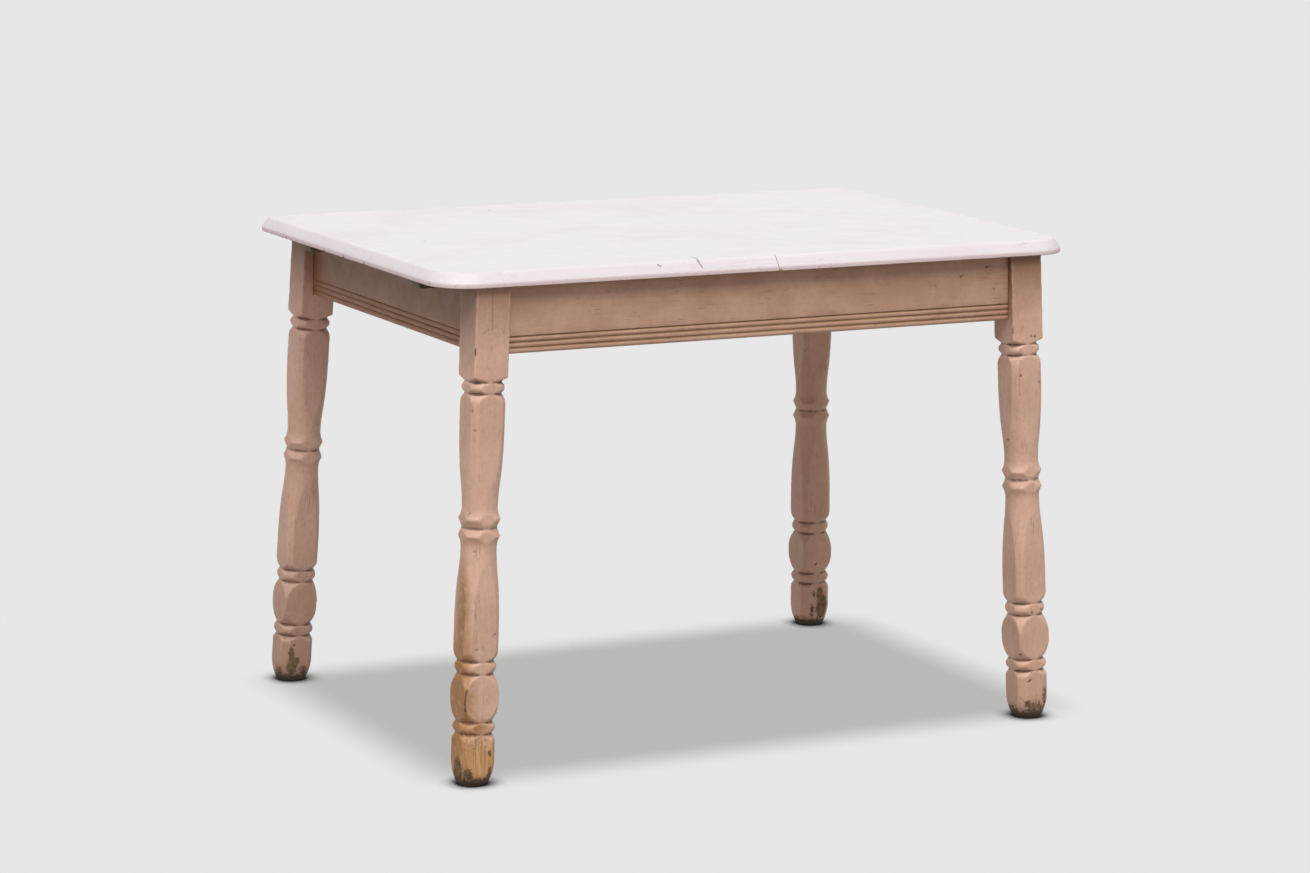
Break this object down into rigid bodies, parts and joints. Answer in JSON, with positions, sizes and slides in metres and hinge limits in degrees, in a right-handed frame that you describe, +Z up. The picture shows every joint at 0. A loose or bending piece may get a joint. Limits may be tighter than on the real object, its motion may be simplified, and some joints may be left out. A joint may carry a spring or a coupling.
{
  "type": "extending kitchen table",
  "caption": "Painted wooden kitchen table on splayed legs turned from square stock, with reeded aprons and a top in halves that pull apart on wooden runners.",
  "frame": {"origin": "on the floor under the middle of the closed top", "axes": "+X along the table's length, the way the right half slides out; +Y from the front to the back; +Z up"},
  "size_m": [1.1, 0.758, 0.77],
  "materials": {
    "top_paint": "satin white paint",
    "frame_paint": "worn satin pink-brown paint",
    "bare_runner": "bare aged wood",
    "bare_rail": "bare aged wood",
    "bare_dowel": "bare wood",
    "screw_steel": "dull steel"
  },
  "bodies": {
    "frame": {"leg_front_left": "frame_paint", "leg_front_right": "frame_paint", "leg_rear_left": "frame_paint", "leg_rear_right": "frame_paint", "apron_front": "frame_paint", "apron_rear": "frame_paint", "apron_left_end": "frame_paint", "apron_right_end": "frame_paint", "centre_rail": "bare_rail", "rail_keeper": "bare_rail", "keeper_screws": "screw_steel"},
    "left_half": {"top_left": "top_paint", "runner_left_front": "bare_runner", "runner_left_rear": "bare_runner", "runner_screws_left_front": "screw_steel", "runner_screws_left_rear": "screw_steel", "stop_pegs_left": "bare_dowel", "alignment_dowels": "bare_dowel"},
    "right_half": {"top_right": "top_paint", "runner_right_front": "bare_runner", "runner_right_rear": "bare_runner", "runner_screws_right_front": "screw_steel", "runner_screws_right_rear": "screw_steel", "stop_pegs_right": "bare_dowel"}
  },
  "joints": [
    {"name": "left_half_slide", "type": "slide", "parent": "frame", "child": "left_half", "axis": [-1, 0, 0], "range_m": [0, 0.25]},
    {"name": "right_half_slide", "type": "slide", "parent": "frame", "child": "right_half", "axis": [1, 0, 0], "range_m": [0, 0.25]}
  ]
}
